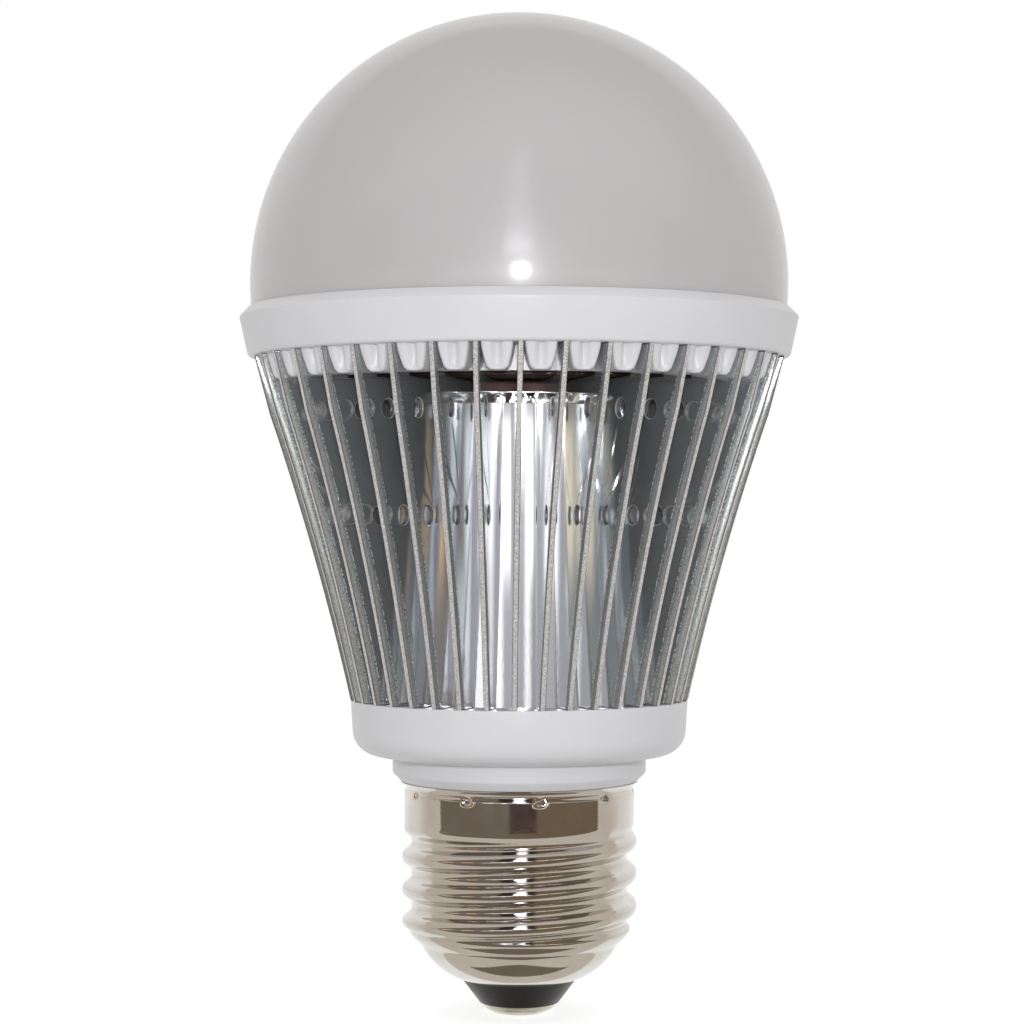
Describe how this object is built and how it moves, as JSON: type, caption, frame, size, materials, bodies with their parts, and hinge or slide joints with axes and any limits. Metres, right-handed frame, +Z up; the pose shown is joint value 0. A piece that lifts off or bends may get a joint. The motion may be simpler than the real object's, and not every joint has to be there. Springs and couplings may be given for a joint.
{
  "type": "led bulb",
  "caption": "Screw-cap lamp with an opal globe, a white comb ring, radial sheet fins on a core, a moulded driver housing and a rolled thread cap.",
  "frame": {"origin": "tip of the centre contact, the lowest point of the lamp", "axes": "+Z up along the lamp's axis towards the globe, -Y towards the front"},
  "size_m": [0.062, 0.062, 0.1108],
  "materials": {
    "opal": "smooth satin opal",
    "white_plastic": "moulded, satin gloss",
    "fin_aluminium": "bright rolled faces, sheared edges",
    "core_aluminium": "bright turned",
    "nickel_shell": "bright nickel plate",
    "black_insulator": "satin black",
    "contact_metal": "dull plated",
    "lid_board": "matt sheet",
    "board_white": "white solder mask",
    "chip_yellow": "phosphor under a clear lens",
    "screw_steel": "zinc plated",
    "driver_green": "green solder mask",
    "wire_red": "satin sleeve",
    "wire_black": "satin sleeve",
    "resistor_grey": "matt coating",
    "component_black": "moulded case",
    "can_sleeve": "shrunk sleeve",
    "transformer_tape": "taped winding"
  },
  "bodies": {
    "root": {"globe": "opal", "top_ring": "white_plastic", "driver_housing": "white_plastic", "sink_core": "core_aluminium", "screw_shell": "nickel_shell", "cap_insulator": "black_insulator", "centre_contact": "contact_metal", "sleeve_lid": "lid_board", "light_board": "board_white", "light_chips": "chip_yellow", "board_screws": "screw_steel", "housing_screws": "screw_steel", "driver_board": "driver_green", "light_wires": "wire_red", "mains_wires": "wire_black", "fuse_resistor": "resistor_grey", "bridge_rectifier": "component_black", "output_capacitor": "can_sleeve", "input_capacitor": "can_sleeve", "transformer": "transformer_tape", "fin_01": "fin_aluminium", "fin_02": "fin_aluminium", "fin_03": "fin_aluminium", "fin_04": "fin_aluminium", "fin_05": "fin_aluminium", "fin_06": "fin_aluminium", "fin_07": "fin_aluminium", "fin_08": "fin_aluminium", "fin_09": "fin_aluminium", "fin_10": "fin_aluminium", "fin_11": "fin_aluminium", "fin_12": "fin_aluminium", "fin_13": "fin_aluminium", "fin_14": "fin_aluminium", "fin_15": "fin_aluminium", "fin_16": "fin_aluminium", "fin_17": "fin_aluminium", "fin_18": "fin_aluminium", "fin_19": "fin_aluminium", "fin_20": "fin_aluminium", "fin_21": "fin_aluminium", "fin_22": "fin_aluminium", "fin_23": "fin_aluminium", "fin_24": "fin_aluminium", "fin_25": "fin_aluminium", "fin_26": "fin_aluminium", "fin_27": "fin_aluminium", "fin_28": "fin_aluminium", "fin_29": "fin_aluminium", "fin_30": "fin_aluminium", "fin_31": "fin_aluminium", "fin_32": "fin_aluminium", "fin_33": "fin_aluminium", "fin_34": "fin_aluminium", "fin_35": "fin_aluminium", "fin_36": "fin_aluminium", "fin_37": "fin_aluminium", "fin_38": "fin_aluminium", "fin_39": "fin_aluminium", "fin_40": "fin_aluminium"}
  },
  "joints": []
}
